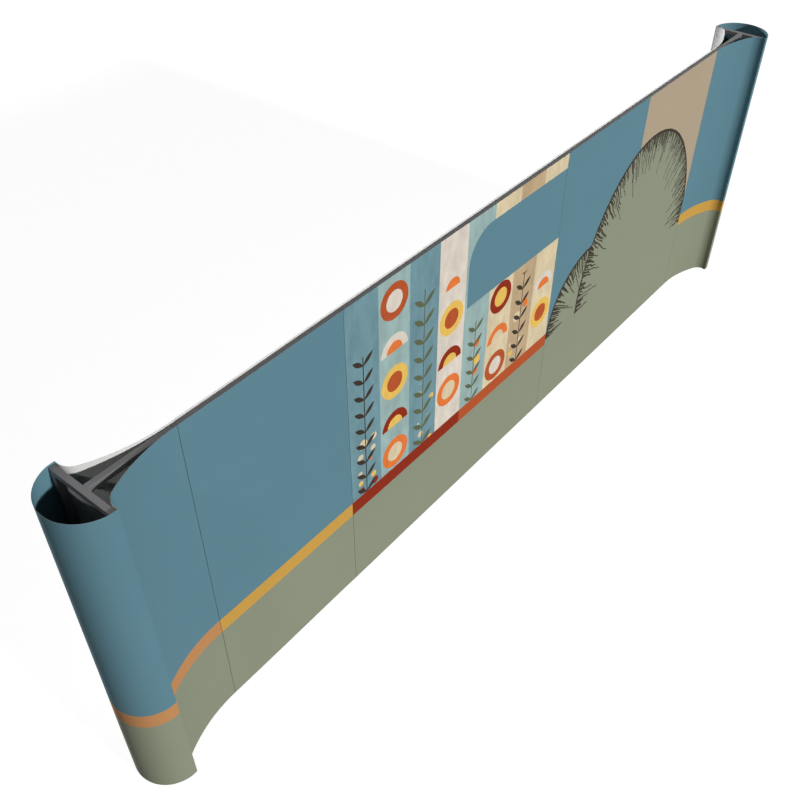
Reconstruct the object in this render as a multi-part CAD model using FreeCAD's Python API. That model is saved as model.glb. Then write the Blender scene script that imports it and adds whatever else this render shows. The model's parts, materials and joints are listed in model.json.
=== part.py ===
import FreeCAD, Part
import math
import os

from FreeCAD import Vector

# Display backwall: a slim post-and-beam frame, H-shaped in plan, with flexible printed panels on both faces.
# X runs along the wall from left to right, Y from the printed front to the back, and Z up.
# The origin is the middle of the wall on the floor. Lengths are in millimetres and angles in degrees.

# The wall as a whole
MODULE = 1000.0             # spacing of the main uprights
PANEL_MODULES = (1, 2, 2)   # widths of the flat panels in modules, from the left
PANEL_TOP = 2016.0          # top edge of the panels above the floor
PANEL_FLOOR_GAP = 8.0       # bottom edge of the panels above the floor
FRAME_SET_DOWN = 9.0        # top of the frame below the top edge of the panels
END_REACH = 435.0           # axis of the last main upright to the inner face of an end frame
END_DEPTH = 380.0           # depth of an end frame over its uprights

# Square tube of the uprights and beams
TUBE = 30.0
TUBE_WALL = 2.0
TUBE_CHAMFER = 1.0

# Printed sheets
SHEET = 1.2                 # thickness
SEAM_GAP = 2.0              # between neighbouring panels
CORNER_GAP = 1.0            # between an end wrap and the edge of the curved panel tucked behind it
CURVE_END_RADIUS = 80.0     # tighter bend of a curved panel, beside the end frame
WRAP_BULGE = 163.0          # how far an end wrap stands out from the end frame's outer face
WRAP_END_RADIUS = 120.0     # tighter bend of an end wrap, beside the end frame

# Magnetic fixing of the panels
STEEL = 1.0                 # thickness of the steel strips on the uprights
STEEL_INSET = 2.5           # bare tube on either side of a steel strip
TAPE = 1.8                  # thickness of the magnetic tapes on the panels
TAPE_WIDTH = 12.0
TAPE_GAP = 0.2              # air between a tape and its strip
FIXING_INSET = 0.5          # tape or hook plate from the edge of its panel
FIXING_LIFT = 15.0          # bottom of a strip or tape above the bottom of what carries it

# Pegs on the uprights and the hook plates that hang on them
PEG_RADIUS = 3.0
PEG_DROP = 38.0             # peg axis below the top of the frame
PEG_SHANK_RADIUS = 2.0
PEG_TAIL = 1.0              # riveted end of a peg inside the tube
PEG_TAIL_RADIUS = 2.8
PEG_FIT = 0.1               # hook plate round its peg, on the radius
HOOK_PLATE_WIDTH = 13.0
HOOK_PLATE_BELOW = 14.0     # hook plate below the peg axis
HOOK_PLATE_ABOVE = 16.0     # hook plate above the peg axis
HOOK_CLEARANCE = 0.4        # hook plate from the upright, and peg from the sheet
PANEL_LIFT = 20.0           # lift that frees a panel from its pegs
LIFT_CLEARANCE = 2.0        # tape below its peg when the panel is lifted

# Hook-in connectors at the beam ends
PLUG_LENGTH = 40.0
PLUG_FIT = 0.1              # plug in its beam, on each side
TONGUE = 3.0                # thickness of a tongue
TONGUE_SPACING = 14.0
NECK_HEIGHT = 8.0
HOOK_DROP = 5.0             # how far a tongue reaches down behind the wall that it hooks into
HOOK_THICKNESS = 3.0
HOOK_FIT = 0.2              # tongue in its slot, on each side, and behind the wall
SLOT_ROOM = 1.0             # spare height for lifting a tongue into its slot

# Screws that hold the connectors in the beams
SCREW_RADIUS = 2.0
SCREW_LENGTH = 10.0
SCREW_HEAD_RADIUS = 4.0
SCREW_HEAD = 2.4
HOLE_FIT = 0.05             # small holes round what passes through them, on the radius
HOLE_BEYOND = 0.5           # blind hole past the end of its screw

# Caps on top of the uprights
CAP_FLANGE = 3.0
CAP_LEG_LENGTH = 15.0
CAP_FIT = 0.1               # legs in the tube, on each side
LEG_CLEARANCE = 0.4         # legs beside the connector tongues

# Levelling feet and the inserts that they screw into
FOOT_PAD_RADIUS = 14.0
FOOT_PAD = 6.0
FOOT_PAD_BEVEL = 1.5
FOOT_HEX = 17.0             # across the flats
FOOT_HEX_HEIGHT = 5.0
FOOT_TRAVEL = 12.0          # how far a foot screws out
STEM_RADIUS = 5.0
STEM_BEVEL = 1.0
THREAD_FIT = 0.05           # foot stem in its insert, on the radius
INSERT_FLANGE = 3.0
INSERT_DEPTH = 20.0
INSERT_CLEARANCE = 4.0      # top of an insert below the lowest tongues

# Heights of the frame
frame_top = PANEL_TOP - FRAME_SET_DOWN
upright_top = frame_top - CAP_FLANGE
upright_bottom = FOOT_PAD + FOOT_HEX_HEIGHT + INSERT_FLANGE
slot_height = NECK_HEIGHT + HOOK_DROP + SLOT_ROOM
top_beam_height = frame_top - TUBE / 2
bottom_beam_height = upright_bottom + INSERT_DEPTH + INSERT_CLEARANCE + HOOK_DROP + slot_height / 2
BEAM_HEIGHTS = {
    "top": top_beam_height,
    "middle": (top_beam_height + bottom_beam_height) / 2,
    "bottom": bottom_beam_height,
}

# Plan of the frame
bays = sum(PANEL_MODULES)
main_xs = [(bay - bays / 2) * MODULE for bay in range(bays + 1)]
end_inner_x = main_xs[-1] + END_REACH
end_axis_x = end_inner_x + TUBE / 2
end_axis_y = END_DEPTH / 2 - TUBE / 2
bore = TUBE - 2 * TUBE_WALL
UPRIGHTS = {f"upright_{number}": (x, 0.0) for number, x in enumerate(main_xs, start=1)}
FIRST_UPRIGHT = "upright_1"
LAST_UPRIGHT = f"upright_{bays + 1}"
for end, end_sign in (("left", -1), ("right", 1)):
    UPRIGHTS[f"{end}_end_front_upright"] = (end_sign * end_axis_x, -end_axis_y)
    UPRIGHTS[f"{end}_end_rear_upright"] = (end_sign * end_axis_x, end_axis_y)

# Fixing of the panels: distances out from a tube's face, sideways from an upright's axis, and up
sheet_back = STEEL + TAPE_GAP + TAPE
sheet_face = sheet_back + SHEET
fixing_width = max(TAPE_WIDTH, HOOK_PLATE_WIDTH)
fixing_offset = SEAM_GAP / 2 + FIXING_INSET + fixing_width / 2
seat_near = fixing_offset - fixing_width / 2 - FIXING_INSET
seat_far = fixing_offset + fixing_width / 2 + FIXING_INSET
peg_height = frame_top - PEG_DROP
strip_top = peg_height - HOOK_PLATE_BELOW - LIFT_CLEARANCE
tape_top = peg_height - PEG_RADIUS - PANEL_LIFT - LIFT_CLEARANCE

# Each face of an upright is named by the turn about the vertical that brings the front face to it
FRONT, TO_RIGHT, REAR, TO_LEFT = 0, 90, 180, 270


def box(x0, x1, y0, y1, z0, z1):
    """A block between two corners."""
    return Part.makeBox(x1 - x0, y1 - y0, z1 - z0, Vector(x0, y0, z0))


def prism(points, length):
    """An outline in plan, drawn up from the floor plane."""
    corners = [Vector(x, y, 0) for x, y in points]
    return Part.Face(Part.makePolygon(corners + corners[:1])).extrude(Vector(0, 0, length))


def turned(profile):
    """A solid of revolution about the vertical, from radius and height points."""
    corners = [Vector(radius, 0, height) for radius, height in profile]
    face = Part.Face(Part.makePolygon(corners + corners[:1]))
    return face.revolve(Vector(0, 0, 0), Vector(0, 0, 1), 360)


def placed(shape, x, y, z, turn):
    """A copy of a shape, turned about the vertical and then moved."""
    copy = shape.copy()
    copy.rotate(Vector(0, 0, 0), Vector(0, 0, 1), turn)
    copy.translate(Vector(x, y, z))
    return copy


def mirrored(shape, axis):
    """The mirror image of a shape, with its length or its depth turned about."""
    return shape.mirror(Vector(0, 0, 0), axis)


def square_bar(length):
    """A standing bar of the tube's outline, with its long edges chamfered."""
    half = TUBE / 2
    short = half - TUBE_CHAMFER
    outline = [(half, -short), (half, short), (short, half), (-short, half),
               (-half, short), (-half, -short), (-short, -half), (short, -half)]
    return prism(outline, length)


def tube(length):
    """A standing square tube."""
    return square_bar(length).cut(box(-bore / 2, bore / 2, -bore / 2, bore / 2, 0, length))


def along_wall(shape):
    """A standing shape laid down along X."""
    shape.rotate(Vector(0, 0, 0), Vector(0, 1, 0), 90)
    return shape


def across_wall(shape):
    """A standing shape laid down along Y."""
    shape.rotate(Vector(0, 0, 0), Vector(1, 0, 0), -90)
    return shape


# A connector, its slots and its screw are drawn at the end of a beam that runs along X up to the origin.

def tongue_sides():
    """The two tongues' places across the beam."""
    return (-TONGUE_SPACING / 2, TONGUE_SPACING / 2)


def connector():
    """A plug for a beam's end with two tongues that drop behind the wall they pass through."""
    half = bore / 2 - PLUG_FIT
    solid = box(-PLUG_LENGTH, 0, -half, half, -half, half)
    neck_end = TUBE_WALL + HOOK_FIT
    foot = -slot_height / 2
    for side in tongue_sides():
        near, far = side - TONGUE / 2, side + TONGUE / 2
        neck = box(0, neck_end, near, far, foot, foot + NECK_HEIGHT)
        hook = box(neck_end, neck_end + HOOK_THICKNESS, near, far, foot - HOOK_DROP, foot + NECK_HEIGHT)
        solid = solid.fuse([neck, hook])
    return solid.cut(screw_hole(SCREW_LENGTH + HOLE_BEYOND)).removeSplitter()


def connector_slots():
    """The two slots that a connector's tongues pass through."""
    half = TONGUE / 2 + HOOK_FIT
    return [box(-HOOK_FIT, TUBE_WALL + HOOK_FIT, side - half, side + half, -slot_height / 2, slot_height / 2)
            for side in tongue_sides()]


def connector_screw():
    """A pan-head screw up through the bottom of a beam."""
    x, under = -PLUG_LENGTH / 2, -TUBE / 2
    head = Part.makeCylinder(SCREW_HEAD_RADIUS, SCREW_HEAD, Vector(x, 0, under - SCREW_HEAD))
    shank = Part.makeCylinder(SCREW_RADIUS, SCREW_LENGTH, Vector(x, 0, under))
    return head.fuse(shank)


def screw_hole(depth):
    """A hole for a connector screw, up from the bottom of a beam."""
    return Part.makeCylinder(SCREW_RADIUS + HOLE_FIT, depth, Vector(-PLUG_LENGTH / 2, 0, -TUBE / 2))


# What holds a panel is drawn on the front of an upright that stands on the origin, then turned to its face.

def steel_strip():
    """A strip down one face of an upright."""
    half = TUBE / 2 - STEEL_INSET
    return box(-half, half, -TUBE / 2 - STEEL, -TUBE / 2, upright_bottom + FIXING_LIFT, strip_top)


def outward_cylinder(radius, length, side, start):
    """A cylinder pointing out of the front face at peg height, starting at a depth."""
    return Part.makeCylinder(radius, length, Vector(side, start, peg_height), Vector(0, -1, 0))


def peg(side):
    """A headed peg riveted through the tube's wall."""
    face, inside = -TUBE / 2, TUBE_WALL - TUBE / 2
    head = outward_cylinder(PEG_RADIUS, sheet_back - HOOK_CLEARANCE, side, face)
    shank = outward_cylinder(PEG_SHANK_RADIUS, TUBE_WALL, side, inside)
    tail = outward_cylinder(PEG_TAIL_RADIUS, PEG_TAIL, side, inside + PEG_TAIL)
    return head.fuse([shank, tail])


def peg_hole(side):
    """The hole for a peg in the tube's wall."""
    return outward_cylinder(PEG_SHANK_RADIUS + HOLE_FIT, TUBE_WALL, side, TUBE_WALL - TUBE / 2)


def magnetic_tape(side):
    """A tape on the back of a panel, facing a steel strip."""
    half = TAPE_WIDTH / 2
    face = -TUBE / 2
    return box(side - half, side + half, face - sheet_back, face - STEEL - TAPE_GAP,
               PANEL_FLOOR_GAP + FIXING_LIFT, tape_top)


def hook_plate(side):
    """A plate on the back of a panel with a notch, open below, that drops over a peg."""
    half = HOOK_PLATE_WIDTH / 2
    notch = PEG_RADIUS + PEG_FIT
    back, front = -TUBE / 2 - HOOK_CLEARANCE, -TUBE / 2 - sheet_back
    bottom = peg_height - HOOK_PLATE_BELOW
    plate = box(side - half, side + half, front, back, bottom, peg_height + HOOK_PLATE_ABOVE)
    slot = box(side - notch, side + notch, front, back, bottom, peg_height)
    return plate.cut([slot, outward_cylinder(notch, back - front, side, back)])


# Sheets are traced in plan, along their printed face, as straight runs and tangent arcs.

def trace(start, heading, moves, offset):
    """Edges of a run of straights (length, 0) and arcs (radius, turn to the left), set off to its left."""
    def left_of(angle):
        return Vector(-math.sin(angle), math.cos(angle), 0)

    angle = math.radians(heading)
    point = Vector(*start, 0) + left_of(angle) * offset
    edges = []
    for size, turn in moves:
        if turn == 0:
            end = point + Vector(math.cos(angle), math.sin(angle), 0) * size
            edges.append(Part.makeLine(point, end))
        else:
            side = math.copysign(1, turn)
            spoke = side * size - offset
            centre = point + left_of(angle) * spoke
            middle = centre - left_of(angle + math.radians(turn) / 2) * spoke
            angle += math.radians(turn)
            end = centre - left_of(angle) * spoke
            edges.append(Part.Arc(point, middle, end).toShape())
        point = end
    return edges


def ribbon(start, heading, moves, side):
    """A sheet standing on its edge, with its thickness to the left of its face (side 1) or right (-1)."""
    face = trace(start, heading, moves, 0)
    back = trace(start, heading, moves, side * SHEET)
    first = Part.makeLine(face[0].firstVertex().Point, back[0].firstVertex().Point)
    last = Part.makeLine(face[-1].lastVertex().Point, back[-1].lastVertex().Point)
    wire = Part.Wire(Part.__sortEdges__(face + back + [first, last]))
    sheet = Part.Face(wire).extrude(Vector(0, 0, PANEL_TOP - PANEL_FLOOR_GAP))
    sheet.translate(Vector(0, 0, PANEL_FLOOR_GAP))
    return sheet


def quarter_oval(reach, rise, end_radius):
    """A quarter oval as two arcs to the right: its tight end, which starts along the rise, then its crown."""
    crown_radius = (reach ** 2 + rise ** 2 - 2 * reach * end_radius) / (2 * (rise - end_radius))
    crown_turn = math.degrees(math.asin((reach - end_radius) / (crown_radius - end_radius)))
    return [(end_radius, crown_turn - 90), (crown_radius, -crown_turn)]


def front_left_curve():
    """The curved sheet from the left end frame's front edge in to the first main upright."""
    edge_y = END_DEPTH / 2 + sheet_back - CORNER_GAP
    bend_y = end_axis_y + seat_near
    tip_x = end_inner_x - sheet_face
    flat_x = main_xs[-1] + seat_far
    oval = quarter_oval(tip_x - flat_x, bend_y - TUBE / 2 - sheet_face, CURVE_END_RADIUS)
    moves = [(edge_y - bend_y, 0)] + oval + [(seat_far - SEAM_GAP / 2, 0)]
    return ribbon((-tip_x, -edge_y), 90, moves, 1)


def left_end_wrap():
    """The half-round sheet from the front of the left end frame round to its back."""
    edge_x = end_inner_x - sheet_face
    bend_x = end_axis_x - seat_near
    half_depth = END_DEPTH / 2 + sheet_face
    rise = end_inner_x + TUBE + WRAP_BULGE - bend_x
    oval = quarter_oval(half_depth, rise, WRAP_END_RADIUS)
    seat = [(bend_x - edge_x, 0)]
    return ribbon((-edge_x, -half_depth), 180, seat + oval + oval[::-1] + seat, -1)


def flat_sheet(x0, x1, side):
    """A flat sheet on the front (side -1) or the back (1) of the wall."""
    near, far = sorted((side * (TUBE / 2 + sheet_back), side * (TUBE / 2 + sheet_face)))
    return box(x0, x1, near, far, PANEL_FLOOR_GAP, PANEL_TOP)


def panels():
    """Every panel's sheet, and the upright, face and sideways place of each of its fixings."""
    sheets, seats = {}, {}
    for name, side, turn in (("front", -1, FRONT), ("rear", 1, REAR)):
        first = 0
        for number, modules in enumerate(PANEL_MODULES, start=1):
            last = first + modules
            panel = f"{name}_panel_{number}"
            sheets[panel] = flat_sheet(main_xs[first] + SEAM_GAP / 2, main_xs[last] - SEAM_GAP / 2, side)
            edge = -side * fixing_offset
            middle = [(f"upright_{upright + 1}", turn, 0.0) for upright in range(first + 1, last)]
            edges = [(f"upright_{first + 1}", turn, edge), (f"upright_{last + 1}", turn, -edge)]
            seats[panel] = edges + middle
            first = last

    curve, wrap = front_left_curve(), left_end_wrap()
    lengthwise, depthwise = Vector(1, 0, 0), Vector(0, 1, 0)
    sheets["front_left_curve"] = curve
    sheets["rear_left_curve"] = mirrored(curve, depthwise)
    sheets["left_end_wrap"] = wrap
    sheets["front_right_curve"] = mirrored(curve, lengthwise)
    sheets["rear_right_curve"] = mirrored(sheets["rear_left_curve"], lengthwise)
    sheets["right_end_wrap"] = mirrored(wrap, lengthwise)
    ends = (("left", TO_RIGHT, FIRST_UPRIGHT, 1), ("right", TO_LEFT, LAST_UPRIGHT, -1))
    for end, inward, upright, side in ends:
        edge = side * fixing_offset
        front, rear = f"{end}_end_front_upright", f"{end}_end_rear_upright"
        seats[f"front_{end}_curve"] = [(front, inward, -edge), (upright, FRONT, -edge)]
        seats[f"rear_{end}_curve"] = [(rear, inward, edge), (upright, REAR, edge)]
        seats[f"{end}_end_wrap"] = [(front, FRONT, edge), (rear, REAR, -edge)]
    return sheets, seats


def on_upright(shape, upright, turn):
    """A fixing moved from the origin to a face of an upright."""
    x, y = UPRIGHTS[upright]
    return placed(shape, x, y, 0, turn)


def beams():
    """Every beam by row, and each beam end's row, host, place and heading."""
    rows, ends = {}, []
    faces = [-end_inner_x]
    for x in main_xs:
        faces += [x - TUBE / 2, x + TUBE / 2]
    faces.append(end_inner_x)
    spans = list(zip(faces[0::2], faces[1::2]))
    for level, z in BEAM_HEIGHTS.items():
        row = f"{level}_beams"
        hosts = [f"left_end_{level}_beam"] + list(UPRIGHTS)[:bays + 1] + [f"right_end_{level}_beam"]
        rows[row] = [placed(along_wall(tube(x1 - x0)), x0, 0, z, 0) for x0, x1 in spans]
        for number, (x0, x1) in enumerate(spans):
            ends.append((row, number, hosts[number], (x0, 0, z, 180)))
            ends.append((row, number, hosts[number + 1], (x1, 0, z, 0)))
        reach = end_axis_y - TUBE / 2
        for end, side in (("left", -1), ("right", 1)):
            row = f"{end}_end_{level}_beam"
            x = side * end_axis_x
            rows[row] = [placed(across_wall(tube(2 * reach)), x, -reach, z, 0)]
            ends.append((row, 0, f"{end}_end_front_upright", (x, -reach, z, 270)))
            ends.append((row, 0, f"{end}_end_rear_upright", (x, reach, z, 90)))
    return rows, ends


def upright_cap():
    """A cap flush with the beams, with a leg in each corner of the tube clear of the tongues."""
    cap = square_bar(CAP_FLANGE)
    outer = bore / 2 - CAP_FIT
    inner = TONGUE_SPACING / 2 + TONGUE / 2 + LEG_CLEARANCE
    legs = [placed(box(inner, outer, inner, outer, -CAP_LEG_LENGTH, 0), 0, 0, 0, turn)
            for turn in (FRONT, TO_RIGHT, REAR, TO_LEFT)]
    cap = cap.fuse(legs)
    cap.translate(Vector(0, 0, upright_top))
    return cap


def foot_insert():
    """A threaded plug in the bottom of an upright."""
    half = bore / 2 - PLUG_FIT
    flange = square_bar(INSERT_FLANGE)
    plug = box(-half, half, -half, half, INSERT_FLANGE, INSERT_FLANGE + INSERT_DEPTH)
    thread = Part.makeCylinder(STEM_RADIUS + THREAD_FIT, INSERT_FLANGE + INSERT_DEPTH)
    insert = flange.fuse(plug).cut(thread)
    insert.translate(Vector(0, 0, upright_bottom - INSERT_FLANGE))
    return insert


def levelling_foot():
    """A round pad with a hexagon for a spanner and a stem that screws into the insert."""
    stem_top = upright_bottom + INSERT_DEPTH + FOOT_TRAVEL
    profile = [(0, 0), (FOOT_PAD_RADIUS, 0), (FOOT_PAD_RADIUS, FOOT_PAD - FOOT_PAD_BEVEL),
               (FOOT_PAD_RADIUS - FOOT_PAD_BEVEL, FOOT_PAD), (STEM_RADIUS, FOOT_PAD),
               (STEM_RADIUS, stem_top - STEM_BEVEL), (STEM_RADIUS - STEM_BEVEL, stem_top), (0, stem_top)]
    corner = FOOT_HEX / 2 / math.cos(math.pi / 6)
    angles = [side * math.pi / 3 for side in range(6)]
    points = [(corner * math.cos(angle), corner * math.sin(angle)) for angle in angles]
    hexagon = prism(points, FOOT_HEX_HEIGHT)
    hexagon.translate(Vector(0, 0, FOOT_PAD))
    return turned(profile).fuse(hexagon).removeSplitter()


def save(node, solids):
    """Writes one node, as a single solid or as a group of separate solids."""
    shape = solids[0] if len(solids) == 1 else Part.makeCompound(solids)
    shape.exportStep(f"parts/{node}.step")


os.makedirs("parts", exist_ok=True)

sheets, seats = panels()
all_seats = [seat for panel_seats in seats.values() for seat in panel_seats]
rows, beam_ends = beams()

# Slots in whatever a beam hooks into, and peg holes in the uprights
cuts = {}
for row, number, host, place in beam_ends:
    cuts.setdefault(host, []).extend(placed(slot, *place) for slot in connector_slots())
for upright, turn, side in all_seats:
    cuts[upright].append(on_upright(peg_hole(side), upright, turn))

for upright, (x, y) in UPRIGHTS.items():
    save(upright, [placed(tube(upright_top - upright_bottom), x, y, upright_bottom, 0).cut(cuts[upright])])

for row, tubes in rows.items():
    solids = []
    for number, beam in enumerate(tubes):
        places = [place for name, count, host, place in beam_ends if (name, count) == (row, number)]
        holes = [placed(screw_hole(TUBE_WALL), *place) for place in places]
        solids.append(beam.cut(holes + cuts.get(row, [])))
    save(row, solids)

save("beam_connectors", [placed(connector(), *place) for row, number, host, place in beam_ends])
save("connector_screws", [placed(connector_screw(), *place) for row, number, host, place in beam_ends])
save("upright_caps", [placed(upright_cap(), x, y, 0, 0) for x, y in UPRIGHTS.values()])
save("foot_inserts", [placed(foot_insert(), x, y, 0, 0) for x, y in UPRIGHTS.values()])
save("panel_pegs", [on_upright(peg(side), upright, turn) for upright, turn, side in all_seats])
strip_faces = sorted({(upright, turn) for upright, turn, side in all_seats})
save("steel_strips", [on_upright(steel_strip(), upright, turn) for upright, turn in strip_faces])

for upright, (x, y) in UPRIGHTS.items():
    save(upright.replace("upright", "foot"), [placed(levelling_foot(), x, y, 0, 0)])

for panel, sheet in sheets.items():
    save(panel, [sheet])
    tapes = [on_upright(magnetic_tape(side), upright, turn) for upright, turn, side in seats[panel]]
    plates = [on_upright(hook_plate(side), upright, turn) for upright, turn, side in seats[panel]]
    save(f"{panel}_fixings", tapes + plates)
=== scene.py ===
import json
import math
from itertools import cycle

import bpy
from mathutils import Matrix, Vector, noise


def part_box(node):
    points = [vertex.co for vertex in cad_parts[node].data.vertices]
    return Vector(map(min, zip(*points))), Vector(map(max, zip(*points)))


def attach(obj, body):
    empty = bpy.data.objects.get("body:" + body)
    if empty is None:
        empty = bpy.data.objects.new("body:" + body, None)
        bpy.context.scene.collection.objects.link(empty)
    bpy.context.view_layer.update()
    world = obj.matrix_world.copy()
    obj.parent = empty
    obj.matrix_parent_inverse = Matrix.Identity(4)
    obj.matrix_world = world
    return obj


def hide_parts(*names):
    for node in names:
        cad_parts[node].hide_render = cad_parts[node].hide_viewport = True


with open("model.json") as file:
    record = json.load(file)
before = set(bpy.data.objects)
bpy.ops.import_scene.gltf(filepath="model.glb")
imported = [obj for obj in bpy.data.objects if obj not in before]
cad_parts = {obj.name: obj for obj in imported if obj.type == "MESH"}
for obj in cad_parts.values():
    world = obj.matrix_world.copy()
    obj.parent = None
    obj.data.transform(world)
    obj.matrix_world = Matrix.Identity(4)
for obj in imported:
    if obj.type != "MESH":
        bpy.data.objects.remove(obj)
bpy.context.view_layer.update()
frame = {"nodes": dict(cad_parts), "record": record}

# Looks of a display backwall: satin printed sheets hung on both faces of a slim aluminium frame.
# Lengths are in metres and angles in degrees. X runs along the wall, Y from front to back, and Z up.

# Plan of the bent sheets beside the frame's boxes
CURVE_TIP = 0.016           # straight run of a curved sheet on the end frame
CURVE_SEAT = 0.014          # straight run of a curved sheet on the main upright
CURVE_END_RADIUS = 0.080
WRAP_SEAT = 0.0182          # straight run of an end wrap on the end frame
WRAP_END_RADIUS = 0.120

# Thickness of the sheets and the rounding of their cut edges
flat_low, flat_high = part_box("front_panel_1")
SHEET = flat_high.y - flat_low.y
SHEET_BEVEL = 0.00025
BEVEL_STEPS = 2
BEVEL_ANGLE = 45.0          # edges that turn by more than this are rounded

# Grid of the sheet meshes and how much the sheets wave between the uprights that hold them
GRID = 0.025
ARC_STEP = 3.0              # largest turn between two columns of a bent sheet
WAVE = 0.0012
WAVE_LENGTH = 0.55
HELD_WIDTH = 0.10           # distance over which a sheet settles flat beside an upright

# Camera, solved from the photograph's straight edges
LENS = 41.845
SENSOR = 36.0
CAMERA_PLACE = (-4.0374, -2.4198, 4.5884)
CAMERA_YAW = 50.9257
CAMERA_PITCH = 41.9525
CAMERA_ROLL = 0.104

# Floor and light
FLOOR_HALF_WIDTH = 60.0
FLOOR_DROP = 0.0002         # how far the floor lies below the feet
FLOOR_ROUGHNESS = 0.9
FLOOR = (0.28, 0.28, 0.28, 1.0)
FLOOR_BOUNCE = (0.03, 0.03, 0.03, 1.0)      # what the floor sends back up to the object
FLOOR_GLOW = 0.90                           # share of its whiteness that the floor keeps in shadow
SKY = 0.03                  # light from all around
LAMPS = (                   # name, direction towards the lamp, strength
    ("front_lamp", (0.03, -0.966, 0.26), 3.13),
    ("rear_lamp", (0.0, 0.99, 0.08), 2.75),
    ("left_lamp", (-0.704, -0.150, 0.695), 0.55),
)
LAMP_SOFTNESS = 3.0         # how wide the lamps look


def ink(red, green, blue):
    """A printed colour, from its 0 to 255 values, for a shader."""
    def linear(value):
        share = value / 255
        return share / 12.92 if share <= 0.04045 else ((share + 0.055) / 1.055) ** 2.4

    return (linear(red), linear(green), linear(blue), 1.0)


BLUE = ink(94, 131, 144)
OLIVE = ink(138, 144, 123)
APRICOT = ink(190, 137, 89)
GOLD = ink(199, 155, 74)
DARK_RED = ink(138, 45, 27)
VERMILION = ink(176, 83, 46)
SAND = ink(173, 157, 134)
UMBER = ink(58, 50, 43)
ORANGE = ink(222, 118, 58)
OFF_WHITE = ink(214, 205, 192)
CREAM = ink(212, 196, 162)
TAN = ink(186, 162, 128)
PALE_TEAL = ink(150, 175, 172)
DUSTY_BLUE = ink(110, 144, 153)
YELLOW = ink(226, 186, 92)
LEAF = ink(92, 100, 74)
WHITE = ink(240, 240, 240)
BARE_FILM = ink(212, 212, 210)

# Bare finishes: light tone and dark tone, then roughness, and for metals how metallic they look
CUT_EDGE = (ink(160, 160, 157), ink(112, 112, 109), 0.6)
ALUMINIUM = (ink(120, 120, 121), ink(106, 106, 108), 0.55, 0.3)
ZINC = (ink(205, 203, 196), ink(165, 164, 160), 0.32, 1.0)
STRIP_STEEL = (ink(92, 92, 94), ink(66, 66, 68), 0.5, 0.8)
BLACK_PLASTIC = (ink(44, 44, 46), ink(30, 30, 32), 0.5)
GREY_PLASTIC = (ink(116, 116, 117), ink(98, 98, 100), 0.5)
RUBBER = (ink(40, 39, 38), ink(26, 26, 26), 0.7)
PAD_PLASTIC = (ink(46, 46, 48), ink(28, 28, 30), 0.55)
FOOT_PAD = 0.006            # height of a foot's moulded pad, below its plated stem
PLATED_SHINE = 0.15         # how much smoother the stem is than the pad
ROUGHNESS_SPREAD = 0.2      # how far roughness ranges on metal and moulded plastic

# Noise of the finishes: cells to the metre, detail
FILM_MOTTLE = (3.0, 4.0)
FILM_GRAIN = (420.0, 2.0)
FILM_SHEEN = (9.0, 5.0)
FILM_EMBOSSING = (1100.0, 2.0)
EDGE_DIRT = (60.0, 5.0)
METAL_LINES = (900.0, 3.0)
METAL_BLOTCH = (12.0, 4.0)
MOULD_GRAIN = (900.0, 3.0)
MOULD_BLOTCH = (40.0, 4.0)
FOOT_BLOTCH = (60.0, 4.0)
EVEN = (1, 1, 1)            # stretch of the noise along X, Y and Z
DRAWN = 0.01                # stretch along a drawn tube
ROLLED = (1, 1, 0.05)       # stretch on the upright steel strips

# What the film's noise gives, as a span and a least value
MOTTLE_TONE = (0.06, 0.955)
GRAIN_TONE = (0.05, -0.01)
FILM_ROUGHNESS = (0.14, 0.50)

FILM_GLOSS = 0.02           # how strongly the satin film reflects
BACK_GLOSS = 0.0            # the same for the matte backs of the sheets

# Fine relief: depth, strength
FILM_RELIEF = (0.00004, 0.5)
METAL_RELIEF = (0.00004, 0.5)
MOULD_RELIEF = (0.00006, 0.7)


class Field:
    """A number worked out at each point of a surface by the nodes of a material."""

    def __init__(self, tree, socket):
        self.tree = tree
        self.socket = socket

    def math(self, operation, *others, clamp=False):
        """What a math node makes of this number and others."""
        node = self.tree.nodes.new("ShaderNodeMath")
        node.operation = operation
        node.use_clamp = clamp
        for socket, value in zip(node.inputs, (self, *others)):
            if isinstance(value, Field):
                self.tree.links.new(value.socket, socket)
            else:
                socket.default_value = value
        return Field(self.tree, node.outputs[0])

    def __add__(self, other):
        return self.math("ADD", other)

    def __sub__(self, other):
        return self.math("SUBTRACT", other)

    def __rsub__(self, other):
        return self.math("MULTIPLY_ADD", -1.0, other)

    def __mul__(self, other):
        return self.math("MULTIPLY", other)

    def __abs__(self):
        return self.math("ABSOLUTE")

    def scaled(self, factor, shift):
        return self.math("MULTIPLY_ADD", factor, shift)

    def wrapped(self, length):
        return self.math("FLOORED_MODULO", length)

    def least(self, other):
        return self.math("MINIMUM", other)

    def most(self, other):
        return self.math("MAXIMUM", other)

    def root(self):
        return self.math("SQRT")

    def inside(self):
        """1 where the number is above 0 and 0 where it is below, with a narrow edge between."""
        return self.math("MULTIPLY_ADD", 1 / PRINT_EDGE, 0.5, clamp=True)


# Shader helpers

def new_material(name, roughness=0.5, metallic=0.0):
    """A material with its node tree and main shader."""
    material = bpy.data.materials.new(name)
    material.use_nodes = True
    tree = material.node_tree
    shader = tree.nodes["Principled BSDF"]
    shader.inputs["Roughness"].default_value = roughness
    shader.inputs["Metallic"].default_value = metallic
    return material, tree, shader


def object_place(tree):
    """The place on the object, as a vector socket."""
    return tree.nodes.new("ShaderNodeTexCoord").outputs["Object"]


def place_number(tree, place, axis):
    """One number of a place, by the letter of its axis."""
    split = tree.nodes.new("ShaderNodeSeparateXYZ")
    tree.links.new(place, split.inputs[0])
    return Field(tree, split.outputs[axis])


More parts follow.
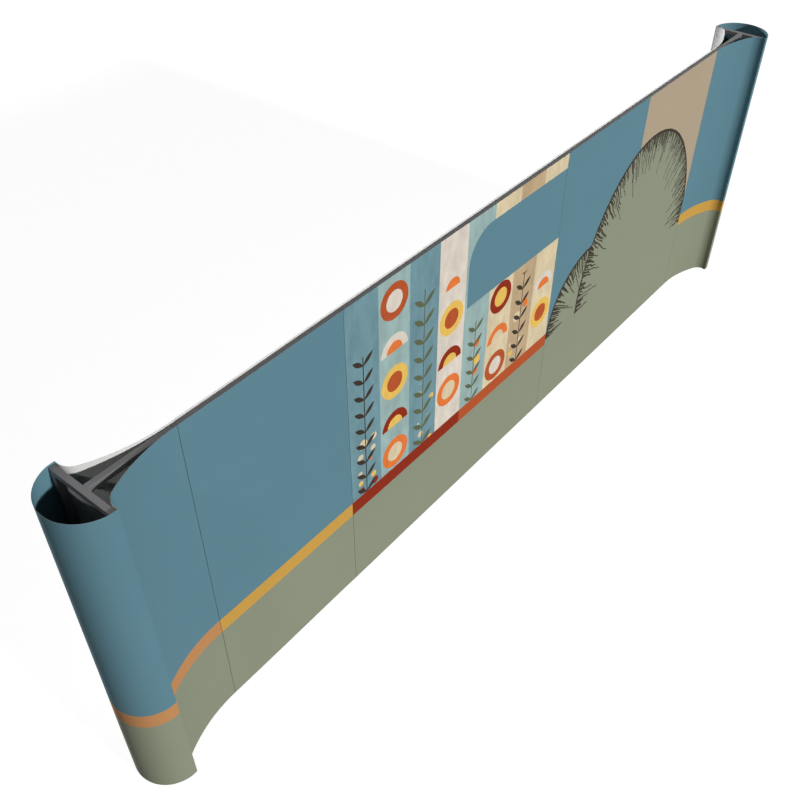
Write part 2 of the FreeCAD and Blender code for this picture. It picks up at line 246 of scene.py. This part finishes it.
def noise_field(tree, place, kind, stretch=EVEN):
    """Noise from 0 to 1."""
    cells, detail = kind
    mapping = tree.nodes.new("ShaderNodeMapping")
    mapping.inputs["Scale"].default_value = [cells * share for share in stretch]
    texture = tree.nodes.new("ShaderNodeTexNoise")
    texture.inputs["Scale"].default_value = 1.0
    texture.inputs["Detail"].default_value = detail
    tree.links.new(place, mapping.inputs["Vector"])
    tree.links.new(mapping.outputs[0], texture.inputs["Vector"])
    return Field(tree, texture.outputs["Fac"])


def paint(tree, under, over, share):
    """One colour laid over another by a share from 0 to 1."""
    mix = tree.nodes.new("ShaderNodeMix")
    mix.data_type = "RGBA"
    tree.links.new(share.socket, mix.inputs["Factor"])
    for name, colour in (("A", under), ("B", over)):
        socket = next(s for s in mix.inputs if s.name == name and s.type == "RGBA")
        if isinstance(colour, tuple):
            socket.default_value = colour
        else:
            tree.links.new(colour, socket)
    return next(s for s in mix.outputs if s.type == "RGBA")


def toned(tree, colour, amount):
    """A colour made lighter or darker by a number about 1."""
    scale = tree.nodes.new("ShaderNodeVectorMath")
    scale.operation = "SCALE"
    tree.links.new(amount.socket, scale.inputs["Scale"])
    if isinstance(colour, tuple):
        scale.inputs[0].default_value = colour[:3]
    else:
        tree.links.new(colour, scale.inputs[0])
    return scale.outputs[0]


def roughen(tree, shader, height, depth, strength):
    """Fine relief on a surface from a height between 0 and 1."""
    bump = tree.nodes.new("ShaderNodeBump")
    bump.inputs["Distance"].default_value = depth
    bump.inputs["Strength"].default_value = strength
    tree.links.new(height.socket, bump.inputs["Height"])
    tree.links.new(bump.outputs[0], shader.inputs["Normal"])


def vary_roughness(tree, shader, share, middle):
    """Roughness that ranges about a middle value with a share from 0 to 1."""
    uneven = share.scaled(ROUGHNESS_SPREAD, middle - ROUGHNESS_SPREAD / 2)
    tree.links.new(uneven.socket, shader.inputs["Roughness"])


def satin_film(tree, shader, colour, place, shine):
    """Ink under a satin film: a little mottling, uneven gloss and a fine embossed grain."""
    mottle = noise_field(tree, place, FILM_MOTTLE).scaled(*MOTTLE_TONE)
    grain = noise_field(tree, place, FILM_GRAIN).scaled(*GRAIN_TONE)
    tree.links.new(toned(tree, colour, mottle + grain), shader.inputs["Base Color"])
    roughness = noise_field(tree, place, FILM_SHEEN).scaled(*FILM_ROUGHNESS)
    tree.links.new(roughness.socket, shader.inputs["Roughness"])
    shader.inputs["Specular IOR Level"].default_value = shine
    roughen(tree, shader, noise_field(tree, place, FILM_EMBOSSING), *FILM_RELIEF)


# Stripe and ground of the print

STRIPE_LOW = 0.579
STRIPE_HIGH = 0.676
PRINT_EDGE = 0.0012         # softness of the edge between two inks

# The wide panel with the picture: bands of colour with discs, half discs, sprigs and small spots on them

STRIPE_SPLIT = -0.5         # where the picture's stripe changes from dark red to vermilion
BANDS = (                   # left edge along the wall, colour
    (-1.25, PALE_TEAL),
    (-1.00, DUSTY_BLUE),
    (-0.75, OFF_WHITE),
    (-0.50, PALE_TEAL),
    (-0.25, CREAM),
    (0.00, TAN),
    (0.25, CREAM),
)
SPRIGS = (                  # place of the foot along the wall, height, leaf length, colour
    (-1.375, 0.98, 0.100, UMBER),
    (-0.875, 1.12, 0.110, LEAF),
    (-0.375, 0.62, 0.095, LEAF),
    (0.125, 0.70, 0.100, UMBER),
)
STEM_HALF = 0.004           # half the width of a sprig's stem
LEAF_STEP = 1.15            # distance between pairs of leaves, in leaf lengths
LEAF_WIDTH = 0.30           # width of a leaf, in leaf lengths
LEAF_TURN = 38.0            # how steeply the leaves rise
DISC_COLUMNS = (            # middle along the wall, height of the lowest disc, number of discs and half discs
    (-1.125, 0.80, 5),
    (-0.625, 0.93, 4),
    (-0.125, 0.80, 3),
    (0.375, 0.93, 2),
)
DISC_STEP = 0.265           # how far a disc is from the next half disc
DISC_RADIUS = 0.110
INNER_DISC = 0.58           # size of the inner disc as a share of its disc
DISC_INKS = (               # colour of a disc, colour of the inner disc
    (ORANGE, CREAM),
    (DARK_RED, YELLOW),
    (YELLOW, VERMILION),
    (OFF_WHITE, ORANGE),
    (VERMILION, OFF_WHITE),
)
SPOT_SPACING = 0.105
SPOT_RADIUS = (0.42, -0.05)     # span and least value of a spot's radius, in spacings; below 0 there is none
SPOT_SCATTER = 0.8              # how unevenly the spots lie, from 0 to 1
SPOT_TOP = 1.16                 # height up to which there are spots
SPOT_LEFT = -1.465              # left edge of the first upright strip that has spots
SPOT_STRIP = 0.18               # width of such a strip
SPOT_REPEAT = 0.5               # distance from one strip to the next
SPOT_INKS = ((0.0, CREAM), (0.45, YELLOW), (0.72, ORANGE), (0.88, DARK_RED))     # start of its share, colour
BLOCK_LEFT = -0.48              # edges of a field of plain blue with one rounded corner
BLOCK_LOW = 1.44
BLOCK_HIGH = 1.92
BLOCK_RADIUS = 0.21
BRUSH = (14.0, 6.0)             # noise of the brushed bands
BRUSH_STRETCH = (1, 1, 0.25)
BRUSH_TONE = (0.5, 0.75)
DABS = (30.0, 5.0)              # noise of the paint
DAB_STRETCH = (1, 1, 0.5)
DAB_TONE = (0.36, 0.83)

# The wide panel with the hills

HILLS = (                   # place along the wall, half width, height
    (1.00, 0.50, 0.52),
    (1.70, 0.82, 1.06),
)
HILL_FOOT = 0.62
SAND_LEFT = 1.5             # left edge of the sand-coloured field
HILL_RIM = 0.020            # width of the dark rim of a hill
RIM_LENGTH = 3.0            # length of the rim, in heights of the hill
STROKE = 0.011              # width of a stroke of the hatching inside the rim
HATCHINGS = (               # spacing of the strokes on the rim, greatest length
    (0.018, 0.14),
    (0.030, 0.28),
    (0.052, 0.42),
)
WAVER = (11.0, 3.0)         # noise that makes the strokes waver
WAVER_TURN = (0.06, -0.03)


# Shapes of the print, above 0 inside and below 0 outside, in metres

def disc(x, z, centre_x, centre_z, radius):
    across = x - centre_x
    up = z - centre_z
    return radius - (across * across + up * up).root()


def half_disc(x, z, centre_x, centre_z, radius):
    """The upper half of a disc."""
    return disc(x, z, centre_x, centre_z, radius).least(z - centre_z)


def between(value, low, high):
    middle = (low + high) / 2
    return (high - low) / 2 - abs(value - middle)


def sprig(x, z, foot_x, foot_z, height, leaf_length):
    """A straight stem with pairs of pointed leaves."""
    side = abs(x - foot_x)
    rise = z - foot_z
    step = rise.wrapped(leaf_length * LEAF_STEP)
    angle = math.radians(LEAF_TURN)
    along = side * math.cos(angle) + step * math.sin(angle)
    across = abs(step * math.cos(angle) - side * math.sin(angle))
    share = along.scaled(2 / leaf_length, -1.0)
    leaf = (1 - share * share) * (leaf_length * LEAF_WIDTH / 2) - across
    stem = STEM_HALF - side
    return leaf.most(stem).least(between(rise, 0.0, height))


def blue_block(x, z):
    """A field of blue that runs to the panel's right edge, with its upper left corner rounded."""
    corner_x = BLOCK_LEFT + BLOCK_RADIUS
    corner_z = BLOCK_HIGH - BLOCK_RADIUS
    corner = disc(x, z, corner_x, corner_z, BLOCK_RADIUS)
    past_corner = (x - corner_x).most(corner_z - z)
    field = (x - BLOCK_LEFT).least(between(z, BLOCK_LOW, BLOCK_HIGH))
    return field.least(corner.most(past_corner))


def hatching(tree, turn, depth, rim_length, spacing, longest):
    """Strokes of random length that run in from the rim of a hill."""
    step = turn * (rim_length / math.pi / spacing)
    chance = tree.nodes.new("ShaderNodeTexWhiteNoise")
    chance.noise_dimensions = "1D"
    tree.links.new(step.math("FLOOR").socket, chance.inputs["W"])
    length = Field(tree, chance.outputs["Value"]) * longest
    across = abs(step.wrapped(1.0) - 0.5) * spacing
    return (STROKE / 2 - across).least(length - depth)


# Prints of the sheets

def striped_print(name, stripe, shine):
    """The plain print of the wraps, curves and narrow panel: blue over olive, parted by a stripe."""
    material, tree, shader = new_material(name)
    place = object_place(tree)
    z = place_number(tree, place, "Z")
    colour = paint(tree, OLIVE, BLUE, (z - (STRIPE_LOW + STRIPE_HIGH) / 2).inside())
    colour = paint(tree, colour, stripe, between(z, STRIPE_LOW, STRIPE_HIGH).inside())
    satin_film(tree, shader, colour, place, shine)
    return material


def brushed_bands(tree, x, place):
    """Upright bands of colour, brushed from top to bottom."""
    bands = DUSTY_BLUE
    for left, colour in BANDS:
        bands = paint(tree, bands, colour, (x - left).inside())
    brush = noise_field(tree, place, BRUSH, BRUSH_STRETCH)
    return toned(tree, bands, brush.scaled(*BRUSH_TONE))


def strewn_spots(tree, x, z):
    """Shape and colour of small spots strewn round the feet of the sprigs."""
    place = tree.nodes.new("ShaderNodeCombineXYZ")
    tree.links.new(x.socket, place.inputs["X"])
    tree.links.new(z.socket, place.inputs["Y"])
    cells = tree.nodes.new("ShaderNodeTexVoronoi")
    cells.voronoi_dimensions = "2D"
    cells.inputs["Scale"].default_value = 1 / SPOT_SPACING
    cells.inputs["Randomness"].default_value = SPOT_SCATTER
    tree.links.new(place.outputs[0], cells.inputs["Vector"])
    chances = tree.nodes.new("ShaderNodeSeparateColor")
    tree.links.new(cells.outputs["Color"], chances.inputs[0])
    size = Field(tree, chances.outputs[0])
    choice = Field(tree, chances.outputs[1])
    spot = (size.scaled(*SPOT_RADIUS) - Field(tree, cells.outputs["Distance"])) * SPOT_SPACING
    colour = SPOT_INKS[0][1]
    for start, other in SPOT_INKS[1:]:
        colour = paint(tree, colour, other, (choice - start).inside())
    spot_x = place_number(tree, cells.outputs["Position"], "X")
    in_strip = SPOT_STRIP - (spot_x - SPOT_LEFT).wrapped(SPOT_REPEAT)
    return spot.least(SPOT_TOP - z).least(in_strip), colour


def disc_columns(tree, picture, x, z):
    """The picture with columns of discs and half discs in turn, each with a smaller one in it."""
    inks = cycle(DISC_INKS)
    for middle, lowest, count in DISC_COLUMNS:
        for step in range(count):
            height = lowest + step * DISC_STEP
            outer, inner = next(inks)
            for radius, colour in ((DISC_RADIUS, outer), (DISC_RADIUS * INNER_DISC, inner)):
                if step % 2:
                    shape = half_disc(x, z, middle, height - DISC_RADIUS / 2, radius)
                else:
                    shape = disc(x, z, middle, height, radius)
                picture = paint(tree, picture, colour, shape.inside())
    return picture


def picture_print():
    """The print of the wide panel with the picture."""
    material, tree, shader = new_material("picture_print")
    place = object_place(tree)
    x = place_number(tree, place, "X")
    z = place_number(tree, place, "Z")
    picture = brushed_bands(tree, x, place)
    spots, spot_colour = strewn_spots(tree, x, z)
    picture = paint(tree, picture, spot_colour, spots.inside())
    for foot_x, height, leaf_length, colour in SPRIGS:
        shape = sprig(x, z, foot_x, STRIPE_HIGH, height, leaf_length)
        picture = paint(tree, picture, colour, shape.inside())
    picture = disc_columns(tree, picture, x, z)
    dabs = noise_field(tree, place, DABS, DAB_STRETCH)
    picture = toned(tree, picture, dabs.scaled(*DAB_TONE))
    picture = paint(tree, picture, BLUE, blue_block(x, z).inside())

    stripe = paint(tree, DARK_RED, VERMILION, (x - STRIPE_SPLIT).inside())
    colour = paint(tree, OLIVE, stripe, (z - STRIPE_LOW).inside())
    colour = paint(tree, colour, picture, (z - STRIPE_HIGH).inside())
    satin_film(tree, shader, colour, place, FILM_GLOSS)
    return material


def hills_print():
    """The print of the wide panel with two hatched hills."""
    material, tree, shader = new_material("hills_print")
    place = object_place(tree)
    x = place_number(tree, place, "X")
    z = place_number(tree, place, "Z")
    colour = paint(tree, BLUE, SAND, (x - SAND_LEFT).inside())
    waver = noise_field(tree, place, WAVER).scaled(*WAVER_TURN)
    for middle, half_width, height in HILLS:
        side = (x - middle) * (1 / half_width)
        rise = (z - HILL_FOOT) * (1 / height)
        depth = (1 - (side * side + rise * rise).root()) * height
        turn = rise.math("ARCTAN2", side) + waver
        colour = paint(tree, colour, OLIVE, depth.inside())
        dark = HILL_RIM - depth
        for spacing, longest in HATCHINGS:
            dark = dark.most(hatching(tree, turn, depth, RIM_LENGTH * height, spacing, longest))
        colour = paint(tree, colour, UMBER, dark.least(depth).inside())
    colour = paint(tree, OLIVE, colour, (z - HILL_FOOT).inside())
    satin_film(tree, shader, colour, place, FILM_GLOSS)
    return material


# Bare finishes

def white_film(name, colour, shine):
    """Bare film: the back of the wall, and the backs of its sheets."""
    material, tree, shader = new_material(name)
    satin_film(tree, shader, colour, object_place(tree), shine)
    return material


def cut_edge():
    """The pale core that shows where a sheet was cut, with a little dirt on it."""
    clean, dirty, roughness = CUT_EDGE
    material, tree, shader = new_material("cut_edge", roughness)
    dirt = noise_field(tree, object_place(tree), EDGE_DIRT)
    tree.links.new(paint(tree, clean, dirty, dirt), shader.inputs["Base Color"])
    return material


def metal(name, light, dark, roughness, metallic, stretch):
    """Drawn or plated metal, with fine lines and uneven gloss."""
    material, tree, shader = new_material(name, roughness, metallic)
    place = object_place(tree)
    lines = noise_field(tree, place, METAL_LINES, stretch)
    blotch = noise_field(tree, place, METAL_BLOTCH)
    mean = (lines + blotch) * 0.5
    tree.links.new(paint(tree, dark, light, mean), shader.inputs["Base Color"])
    vary_roughness(tree, shader, blotch, roughness)
    roughen(tree, shader, lines, *METAL_RELIEF)
    return material


def moulded(name, light, dark, roughness):
    """Moulded plastic or rubber with a fine spark-eroded grain."""
    material, tree, shader = new_material(name, roughness)
    place = object_place(tree)
    grain = noise_field(tree, place, MOULD_GRAIN)
    blotch = noise_field(tree, place, MOULD_BLOTCH)
    tree.links.new(paint(tree, dark, light, blotch), shader.inputs["Base Color"])
    vary_roughness(tree, shader, grain, roughness)
    roughen(tree, shader, grain, *MOULD_RELIEF)
    return material


def foot_finish():
    """A black moulded pad under a zinc-plated hexagon and stem."""
    pad_light, pad_dark, roughness = PAD_PLASTIC
    zinc_light, zinc_dark = ZINC[:2]
    material, tree, shader = new_material("levelling_foot")
    place = object_place(tree)
    plated = (place_number(tree, place, "Z") - FOOT_PAD).inside()
    blotch = noise_field(tree, place, FOOT_BLOTCH)
    grain = noise_field(tree, place, MOULD_GRAIN)
    pad = paint(tree, pad_dark, pad_light, blotch)
    zinc = paint(tree, zinc_dark, zinc_light, blotch)
    tree.links.new(paint(tree, pad, zinc, plated), shader.inputs["Base Color"])
    tree.links.new(plated.socket, shader.inputs["Metallic"])
    uneven = grain.scaled(ROUGHNESS_SPREAD, roughness - ROUGHNESS_SPREAD / 2)
    tree.links.new((uneven - plated * PLATED_SHINE).socket, shader.inputs["Roughness"])
    roughen(tree, shader, grain, *MOULD_RELIEF)
    return material


# Bent sheets are traced in plan along their printed face

def quarter_oval(reach, rise, end_radius):
    """A quarter oval as two arcs to the right: its tight end, which starts along the rise, then its crown."""
    crown_radius = (reach ** 2 + rise ** 2 - 2 * reach * end_radius) / (2 * (rise - end_radius))
    crown_turn = math.degrees(math.asin((reach - end_radius) / (crown_radius - end_radius)))
    return [(end_radius, crown_turn - 90), (crown_radius, -crown_turn)]


def trace(start, heading, moves, side):
    """Columns (run, point, outward direction) along a way of straights and arcs.

    A straight is (length, 0) and an arc is (radius, turn to the left). The printed face looks to the right
    of the way (side 1) or to the left (-1)."""
    def direction(angle):
        return Vector((math.cos(angle), math.sin(angle)))

    columns = []
    point = Vector(start)
    angle = math.radians(heading)
    run = 0.0
    for size, turn in moves:
        length = size if turn == 0 else size * abs(math.radians(turn))
        count = max(math.ceil(length / GRID), math.ceil(abs(turn) / ARC_STEP))
        sideways = math.copysign(size, turn) if turn else 0.0
        centre = point + direction(angle + math.pi / 2) * sideways
        for step in range(count + 1):
            share = step / count
            there = angle + math.radians(turn) * share
            if turn:
                place = centre - direction(there + math.pi / 2) * sideways
            else:
                place = point + direction(angle) * length * share
            if step or not columns:
                columns.append((run + length * share, place, direction(there - side * math.pi / 2)))
        point = place
        angle = there
        run += length
    return columns


def front_left_curve():
    """The curved sheet from the left end frame's front edge in to the first main upright."""
    low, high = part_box("front_left_curve")
    tip_x = low.x + SHEET
    face_y = high.y - SHEET
    oval = quarter_oval(high.x - CURVE_SEAT - tip_x, face_y - (low.y + CURVE_TIP), CURVE_END_RADIUS)
    return trace((tip_x, low.y), 90, [(CURVE_TIP, 0)] + oval + [(CURVE_SEAT, 0)], 1)


def left_end_wrap():
    """The half-round sheet from the front of the left end frame round to its back."""
    low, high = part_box("left_end_wrap")
    oval = quarter_oval(high.y, high.x - WRAP_SEAT - low.x, WRAP_END_RADIUS)
    seat = [(WRAP_SEAT, 0)]
    return trace((high.x, low.y), 180, seat + oval + oval[::-1] + seat, -1)


def flat_run(panel):
    """A flat sheet, traced from left to right as seen from its printed side."""
    low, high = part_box(panel)
    if low.y < 0:
        return trace((low.x, low.y), 0, [(high.x - low.x, 0)], 1)
    return trace((high.x, high.y), 180, [(high.x - low.x, 0)], 1)


def mirrored(columns, along, across):
    """The same columns with their length, their depth or both turned about."""
    flip = Vector((along, across))
    return [(run, point * flip, outward * flip) for run, point, outward in columns]


def wave(run, height, held, seed):
    """How far a sheet stands out from its true place, which it keeps along the lines where it is held."""
    nearest = min(abs(run - line) for line in held)
    share = min(1.0, nearest / HELD_WIDTH)
    ease = share * share * (3 - 2 * share)
    slow = noise.noise(Vector((run / WAVE_LENGTH, height / WAVE_LENGTH, seed)))
    return WAVE * ease * slow


def sheet_mesh(panel, columns, held):
    """The printed face of a sheet as a fine grid, with its faces turned outward."""
    low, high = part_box(panel)
    rows = math.ceil((high.z - low.z) / GRID)
    heights = [low.z + (high.z - low.z) * row / rows for row in range(rows + 1)]
    seed = float(len(bpy.data.meshes))
    points = []
    for run, point, outward in columns:
        for height in heights:
            place = point + outward * wave(run, height, held, seed)
            points.append((place.x, place.y, height))
    way = columns[1][1] - columns[0][1]
    outward = columns[0][2]
    turns_right = way.y * outward.x - way.x * outward.y > 0
    faces = []
    for column in range(len(columns) - 1):
        for row in range(rows):
            near = column * len(heights) + row
            far = near + len(heights)
            corners = (near, far, far + 1, near + 1)
            faces.append(corners if turns_right else corners[::-1])
    mesh = bpy.data.meshes.new(panel + "_sheet")
    mesh.from_pydata(points, [], faces)
    mesh.shade_smooth()
    return mesh


def sheet_piece(panel, columns, held, materials):
    """A sheet with rounded cut edges, in place of its plain solid. Its materials are face, back and edge."""
    mesh = sheet_mesh(panel, columns, held)
    for material in materials:
        mesh.materials.append(material)
    piece = bpy.data.objects.new(panel + "_sheet", mesh)
    bpy.context.scene.collection.objects.link(piece)

    thickness = piece.modifiers.new("thickness", "SOLIDIFY")
    thickness.thickness = SHEET
    thickness.offset = -1.0
    thickness.use_even_offset = True
    thickness.material_offset = 1
    thickness.material_offset_rim = 2
    edges = piece.modifiers.new("edges", "BEVEL")
    edges.width = SHEET_BEVEL
    edges.segments = BEVEL_STEPS
    edges.limit_method = "ANGLE"
    edges.angle_limit = math.radians(BEVEL_ANGLE)
    edges.harden_normals = True

    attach(piece, panel)
    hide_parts(panel)


def held_runs(panel):
    """Where a flat panel is held, as runs from its left edge: at both edges and at any upright between."""
    low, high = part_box(panel)
    uprights = [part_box(name) for name in frame["nodes"] if name.startswith("upright_") and name[-1].isdigit()]
    places = [(box_low.x + box_high.x) / 2 for box_low, box_high in uprights]
    inner = [x for x in places if low.x < x < high.x]
    start = low.x if low.y < 0 else high.x
    return [0.0, high.x - low.x] + [abs(x - start) for x in inner]


def end_runs(columns):
    """Where a bent panel is held, at its two ends."""
    return [columns[0][0], columns[-1][0]]


def dress_panels():
    """All twelve sheets."""
    edge = cut_edge()
    bare = white_film("bare_film", BARE_FILM, BACK_GLOSS)
    rear = white_film("rear_film", WHITE, FILM_GLOSS)
    apricot = striped_print("apricot_stripe_print", APRICOT, FILM_GLOSS)
    gold = striped_print("gold_stripe_print", GOLD, FILM_GLOSS)
    apricot_back = striped_print("apricot_stripe_back", APRICOT, BACK_GLOSS)
    gold_back = striped_print("gold_stripe_back", GOLD, BACK_GLOSS)
    prints = {
        "front_panel_1": gold,
        "front_panel_2": picture_print(),
        "front_panel_3": hills_print(),
    }
    for panel, front in prints.items():
        sheet_piece(panel, flat_run(panel), held_runs(panel), (front, bare, edge))
        behind = panel.replace("front", "rear")
        sheet_piece(behind, flat_run(behind), held_runs(behind), (rear, bare, edge))
    curve = front_left_curve()
    wrap = left_end_wrap()
    for end, along, front, back in (("left", 1, apricot, apricot_back), ("right", -1, gold, gold_back)):
        bent = mirrored(curve, along, 1)
        sheet_piece(f"front_{end}_curve", bent, end_runs(bent), (front, bare, edge))
        bent = mirrored(curve, along, -1)
        sheet_piece(f"rear_{end}_curve", bent, end_runs(bent), (rear, bare, edge))
        bent = mirrored(wrap, along, 1)
        sheet_piece(f"{end}_end_wrap", bent, end_runs(bent), (front, back, edge))


def long_axis(node):
    """The axis that a node is longest along, as 0, 1 or 2."""
    low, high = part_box(node)
    return max(range(3), key=lambda axis: high[axis] - low[axis])


def dress_frame():
    """Finishes of the frame, its fittings and the panels' fixings."""
    aluminium = []
    for axis, letter in enumerate("xyz"):
        stretch = list(EVEN)
        stretch[axis] = DRAWN
        aluminium.append(metal("aluminium_along_" + letter, *ALUMINIUM, stretch))
    finishes = {
        "zinc_steel": metal("zinc_steel", *ZINC, EVEN),
        "strip_steel": metal("strip_steel", *STRIP_STEEL, ROLLED),
        "connector_plastic": moulded("connector_plastic", *BLACK_PLASTIC),
        "cap_plastic": moulded("cap_plastic", *GREY_PLASTIC),
        "foot_plastic": foot_finish(),
        "panel_fixing": moulded("panel_fixing", *RUBBER),
    }
    for part in frame["record"]["subparts"]:
        node = part["node"]
        slot = part["material_slot"]
        finish = aluminium[long_axis(node)] if slot == "frame_aluminium" else finishes.get(slot)
        if finish:
            materials = frame["nodes"][node].data.materials
            materials.clear()
            materials.append(finish)


# Surroundings

def seen_rays(tree):
    """1 for rays that see a surface directly, in a mirror or through glass, and 0 for the rest."""
    path = tree.nodes.new("ShaderNodeLightPath")
    seen = Field(tree, path.outputs["Is Camera Ray"])
    for name in ("Is Glossy Ray", "Is Transmission Ray"):
        seen = seen.most(Field(tree, path.outputs[name]))
    return seen


def add_floor():
    """A plain white floor that takes the object's shadow."""
    sides = ((-1, -1), (1, -1), (1, 1), (-1, 1))
    corners = [(x * FLOOR_HALF_WIDTH, y * FLOOR_HALF_WIDTH, -FLOOR_DROP) for x, y in sides]
    mesh = bpy.data.meshes.new("floor")
    mesh.from_pydata(corners, [], [(0, 1, 2, 3)])
    material, tree, shader = new_material("floor", FLOOR_ROUGHNESS)
    seen = seen_rays(tree)
    tree.links.new(paint(tree, FLOOR_BOUNCE, FLOOR, seen), shader.inputs["Base Color"])
    shader.inputs["Emission Color"].default_value = (1, 1, 1, 1)
    tree.links.new((seen * FLOOR_GLOW).socket, shader.inputs["Emission Strength"])
    shader.inputs["Specular IOR Level"].default_value = 0.0
    mesh.materials.append(material)
    floor = bpy.data.objects.new("floor", mesh)
    bpy.context.scene.collection.objects.link(floor)


def add_light():
    """An even white surround, a lamp on each side of the wall and a weak one at its left end."""
    world = bpy.data.worlds.new("studio")
    world.use_nodes = True
    tree = world.node_tree
    background = tree.nodes["Background"]
    background.inputs["Color"].default_value = (1, 1, 1, 1)
    tree.links.new(seen_rays(tree).scaled(1 - SKY, SKY).socket, background.inputs["Strength"])
    bpy.context.scene.world = world
    for name, direction, strength in LAMPS:
        data = bpy.data.lights.new(name, "SUN")
        data.energy = strength
        data.angle = math.radians(LAMP_SOFTNESS)
        lamp = bpy.data.objects.new(name, data)
        lamp.rotation_mode = "QUATERNION"
        lamp.rotation_quaternion = (-Vector(direction)).to_track_quat("-Z", "Y")
        bpy.context.scene.collection.objects.link(lamp)


def add_camera():
    """A camera at the photograph's place and angle."""
    yaw, pitch, roll = (math.radians(angle) for angle in (CAMERA_YAW, CAMERA_PITCH, CAMERA_ROLL))
    forward = Vector((math.sin(yaw) * math.cos(pitch), math.cos(yaw) * math.cos(pitch), -math.sin(pitch)))
    level = Vector((math.cos(yaw), -math.sin(yaw), 0))
    upright = level.cross(forward)
    right = level * math.cos(roll) + upright * math.sin(roll)
    up = upright * math.cos(roll) - level * math.sin(roll)
    turned = Matrix((right, up, -forward)).transposed().to_4x4()
    data = bpy.data.cameras.new("camera")
    data.lens = LENS
    data.sensor_width = SENSOR
    camera = bpy.data.objects.new("camera", data)
    camera.matrix_world = Matrix.Translation(CAMERA_PLACE) @ turned
    bpy.context.scene.collection.objects.link(camera)
    bpy.context.scene.camera = camera


dress_panels()
dress_frame()
add_floor()
add_light()
add_camera()
bpy.context.scene.view_settings.view_transform = "Standard"
